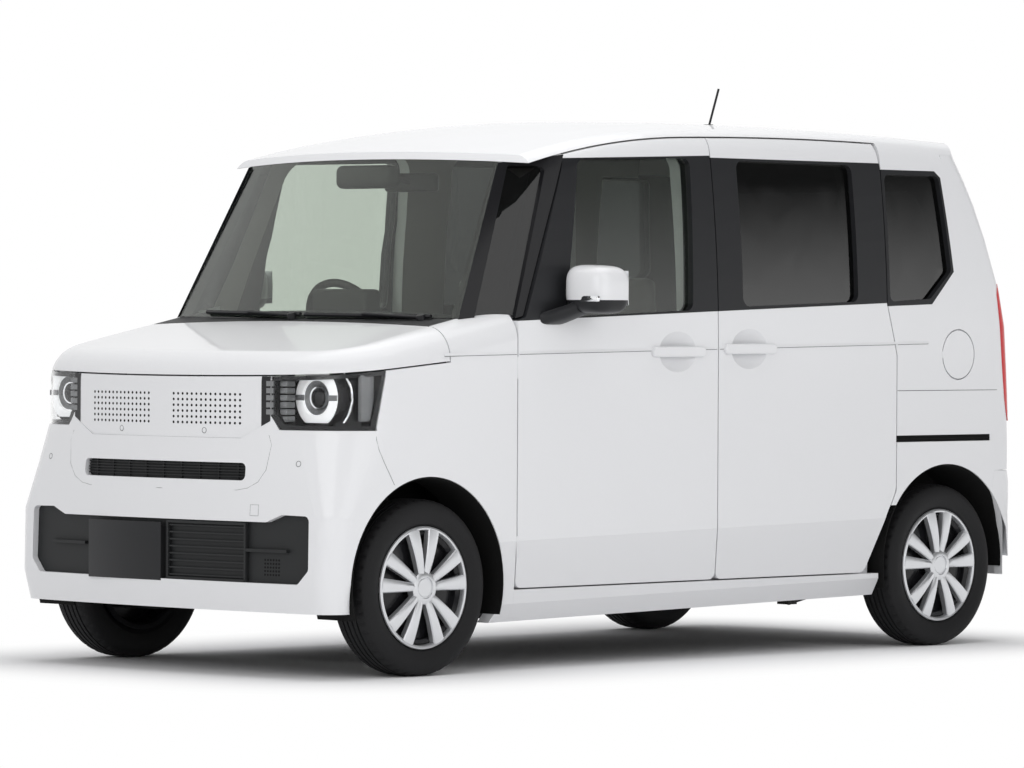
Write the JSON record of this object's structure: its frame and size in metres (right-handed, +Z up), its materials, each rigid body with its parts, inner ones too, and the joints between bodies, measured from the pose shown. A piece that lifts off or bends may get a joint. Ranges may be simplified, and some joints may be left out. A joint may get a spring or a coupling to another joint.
{
  "type": "kei car",
  "caption": "Tall box-shaped kei car with hinged front doors, fixed sliding side doors, clamshell bonnet, tailgate, steered front wheels and a seated cabin.",
  "frame": {"origin": "on the ground at the middle of the whole car's length and width", "axes": "+X forward along the car, +Y to the car's left, +Z up"},
  "size_m": [3.3949, 1.813, 1.9244],
  "materials": {
    "paint": "gloss pearl white",
    "black_trim": "matt black",
    "clear_glass": "clear with a green tint",
    "dark_glass": "dark privacy tint",
    "lamp_lens": "clear lens",
    "lamp_red": "gloss red",
    "tyre": "matt rubber",
    "wheel_silver": "satin silver paint",
    "interior_plastic": "grained",
    "seat_fabric": "woven",
    "chassis_steel": "dark coated",
    "engine_cast": "rough cast",
    "tank_plastic": "moulded"
  },
  "bodies": {
    "body": {"roof_panel": "paint", "rear_bumper": "paint", "grille_panel": "paint", "front_bumper": "paint", "sliding_door_handles": "paint", "sliding_door_left": "paint", "sliding_door_right": "paint", "quarter_panel_left": "paint", "quarter_panel_right": "paint", "fender_left": "paint", "fender_right": "paint", "side_frame_left": "paint", "side_frame_right": "paint", "front_grilles": "black_trim", "cowl": "black_trim", "headlamp_bodies": "black_trim", "antenna": "black_trim", "front_pillar_left": "black_trim", "front_pillar_right": "black_trim", "windscreen": "clear_glass", "sliding_door_glass": "dark_glass", "fixed_side_glass": "dark_glass", "headlamp_lenses": "lamp_lens", "tail_lamps": "lamp_red", "dashboard": "interior_plastic", "front_seats": "seat_fabric", "rear_bench": "seat_fabric", "underbody": "chassis_steel", "front_subframe": "chassis_steel", "rear_axle": "chassis_steel", "exhaust": "chassis_steel", "engine": "engine_cast", "fuel_tank": "tank_plastic"},
    "front_door_left": {"front_door_left": "paint", "front_door_glass_left": "clear_glass", "front_door_handle_left": "paint", "mirror_left": "black_trim"},
    "front_door_right": {"front_door_right": "paint", "front_door_glass_right": "clear_glass", "front_door_handle_right": "paint", "mirror_right": "black_trim"},
    "tailgate": {"tailgate": "paint", "tailgate_glass": "dark_glass"},
    "bonnet": {"bonnet": "paint"},
    "fuel_lid": {"fuel_lid": "paint"},
    "steering_wheel": {"steering_wheel": "interior_plastic"},
    "knuckle_left": {"knuckle_left": "chassis_steel"},
    "knuckle_right": {"knuckle_right": "chassis_steel"},
    "wheel_front_left": {"wheel_front_left": "wheel_silver", "tyre_front_left": "tyre"},
    "wheel_front_right": {"wheel_front_right": "wheel_silver", "tyre_front_right": "tyre"},
    "wheel_rear_left": {"wheel_rear_left": "wheel_silver", "tyre_rear_left": "tyre"},
    "wheel_rear_right": {"wheel_rear_right": "wheel_silver", "tyre_rear_right": "tyre"}
  },
  "joints": [
    {"name": "steer_left", "type": "hinge", "parent": "body", "child": "knuckle_left", "pos_m": [1.2325, 0.6, 0.19], "axis": [0, -0.193, 0.9812], "range_deg": [-36, 36]},
    {"name": "steer_right", "type": "hinge", "parent": "body", "child": "knuckle_right", "pos_m": [1.2325, -0.6, 0.19], "axis": [0, 0.193, 0.9812], "range_deg": [-36, 36]},
    {"name": "steering_wheel_turn", "type": "hinge", "parent": "body", "child": "steering_wheel", "pos_m": [0.52, -0.34, 1.075], "axis": [-0.8988, 0, 0.4384], "range_deg": [-540, 540]},
    {"name": "spin_front_left", "type": "hinge", "parent": "knuckle_left", "child": "wheel_front_left", "pos_m": [1.2325, 0.6525, 0.278], "axis": [0, 1, 0], "continuous": true},
    {"name": "spin_front_right", "type": "hinge", "parent": "knuckle_right", "child": "wheel_front_right", "pos_m": [1.2325, -0.6525, 0.278], "axis": [0, 1, 0], "continuous": true},
    {"name": "spin_rear_left", "type": "hinge", "parent": "body", "child": "wheel_rear_left", "pos_m": [-1.2875, 0.6525, 0.278], "axis": [0, 1, 0], "continuous": true},
    {"name": "spin_rear_right", "type": "hinge", "parent": "body", "child": "wheel_rear_right", "pos_m": [-1.2875, -0.6525, 0.278], "axis": [0, 1, 0], "continuous": true},
    {"name": "open_front_door_left", "type": "hinge", "parent": "body", "child": "front_door_left", "pos_m": [0.832, 0.737, 0.645], "axis": [0, 0, -1], "range_deg": [0, 70]},
    {"name": "open_front_door_right", "type": "hinge", "parent": "body", "child": "front_door_right", "pos_m": [0.832, -0.737, 0.645], "axis": [0, 0, 1], "range_deg": [0, 70]},
    {"name": "open_tailgate", "type": "hinge", "parent": "body", "child": "tailgate", "pos_m": [-1.405, 0, 1.77], "axis": [0, 1, 0], "range_deg": [0, 80]},
    {"name": "open_bonnet", "type": "hinge", "parent": "body", "child": "bonnet", "pos_m": [1.1375, 0, 1.10953], "axis": [0, -1, 0], "range_deg": [0, 55]},
    {"name": "open_fuel_lid", "type": "hinge", "parent": "body", "child": "fuel_lid", "pos_m": [-1.2775, 0.737, 1.003], "axis": [0, 0, -1], "range_deg": [0, 90]}
  ],
  "couplings": [
    {"joint": "steer_right", "follows": "steer_left", "ratio": 1},
    {"joint": "steering_wheel_turn", "follows": "steer_left", "ratio": 15}
  ]
}
